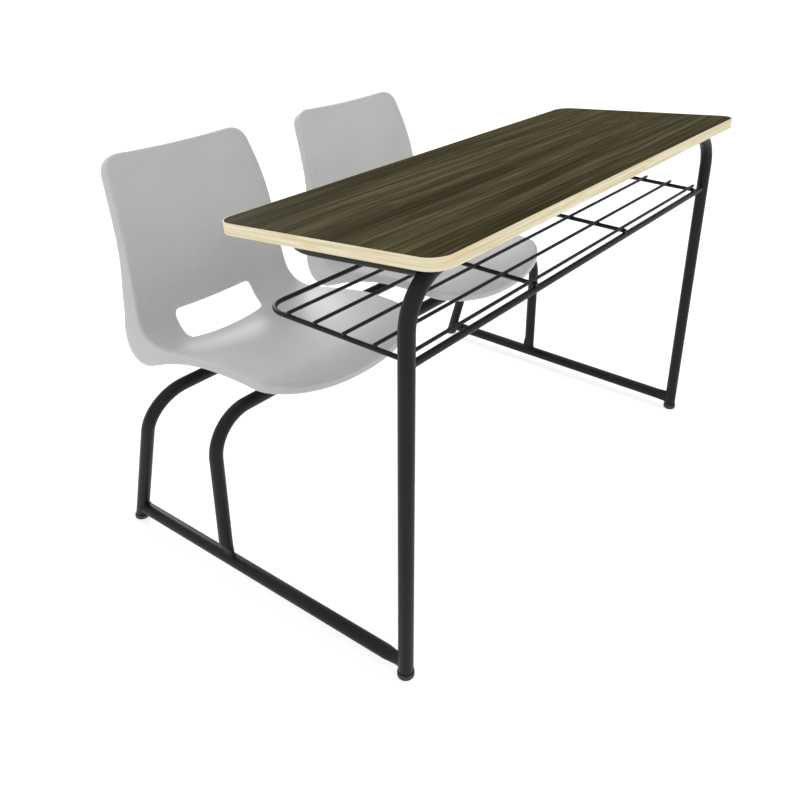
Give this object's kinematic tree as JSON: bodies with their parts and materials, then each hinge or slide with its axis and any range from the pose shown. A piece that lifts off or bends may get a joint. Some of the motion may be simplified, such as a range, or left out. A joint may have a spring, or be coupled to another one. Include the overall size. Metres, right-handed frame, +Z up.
{
  "type": "double school desk",
  "caption": "School desk for two: tilted walnut laminate top, wire book rack and attached plastic seats on a welded round tube frame",
  "frame": {"origin": "middle of the bounding box in X and Y, on the floor", "axes": "+X along the desk, +Y from the desktop towards the seats, +Z up"},
  "size_m": [1.1154, 0.8902, 0.7499],
  "materials": {
    "frame_paint": "satin black powder coat",
    "screw_steel": "zinc plated",
    "seat_plastic": "light grey moulded polypropylene, fine grain",
    "cap_rubber": "matt black",
    "laminate": "dark walnut print, satin",
    "board": "raw particle board",
    "backer": "plain backing sheet",
    "edge_band": "pale ply print, satin"
  },
  "bodies": {
    "root": {"desktop_core": "board", "desktop_laminate": "laminate", "desktop_backer": "backer", "desktop_edge_band": "edge_band", "desktop_tab_1": "frame_paint", "desktop_tab_2": "frame_paint", "desktop_tab_3": "frame_paint", "desktop_tab_4": "frame_paint", "desktop_tab_5": "frame_paint", "desktop_tab_6": "frame_paint", "desktop_screw_1": "screw_steel", "desktop_screw_2": "screw_steel", "desktop_screw_3": "screw_steel", "desktop_screw_4": "screw_steel", "desktop_screw_5": "screw_steel", "desktop_screw_6": "screw_steel", "front_frame": "frame_paint", "top_hoop": "frame_paint", "stretcher": "frame_paint", "foot_rail_left": "frame_paint", "foot_rail_right": "frame_paint", "seat_tube_front": "frame_paint", "seat_tube_rear": "frame_paint", "rack_rim": "frame_paint", "rack_cross_rod_1": "frame_paint", "rack_cross_rod_2": "frame_paint", "rack_wire_1": "frame_paint", "rack_wire_2": "frame_paint", "rack_wire_3": "frame_paint", "rack_wire_4": "frame_paint", "rack_wire_5": "frame_paint", "foot_cap_front_left": "cap_rubber", "foot_cap_front_right": "cap_rubber", "foot_cap_rear_left": "cap_rubber", "foot_cap_rear_right": "cap_rubber", "seat_shell_left": "seat_plastic", "seat_strap_left_1": "frame_paint", "seat_strap_left_2": "frame_paint", "seat_screw_left_1": "screw_steel", "seat_screw_left_2": "screw_steel", "seat_screw_left_3": "screw_steel", "seat_screw_left_4": "screw_steel", "seat_shell_right": "seat_plastic", "seat_strap_right_1": "frame_paint", "seat_strap_right_2": "frame_paint", "seat_screw_right_1": "screw_steel", "seat_screw_right_2": "screw_steel", "seat_screw_right_3": "screw_steel", "seat_screw_right_4": "screw_steel"}
  },
  "joints": []
}
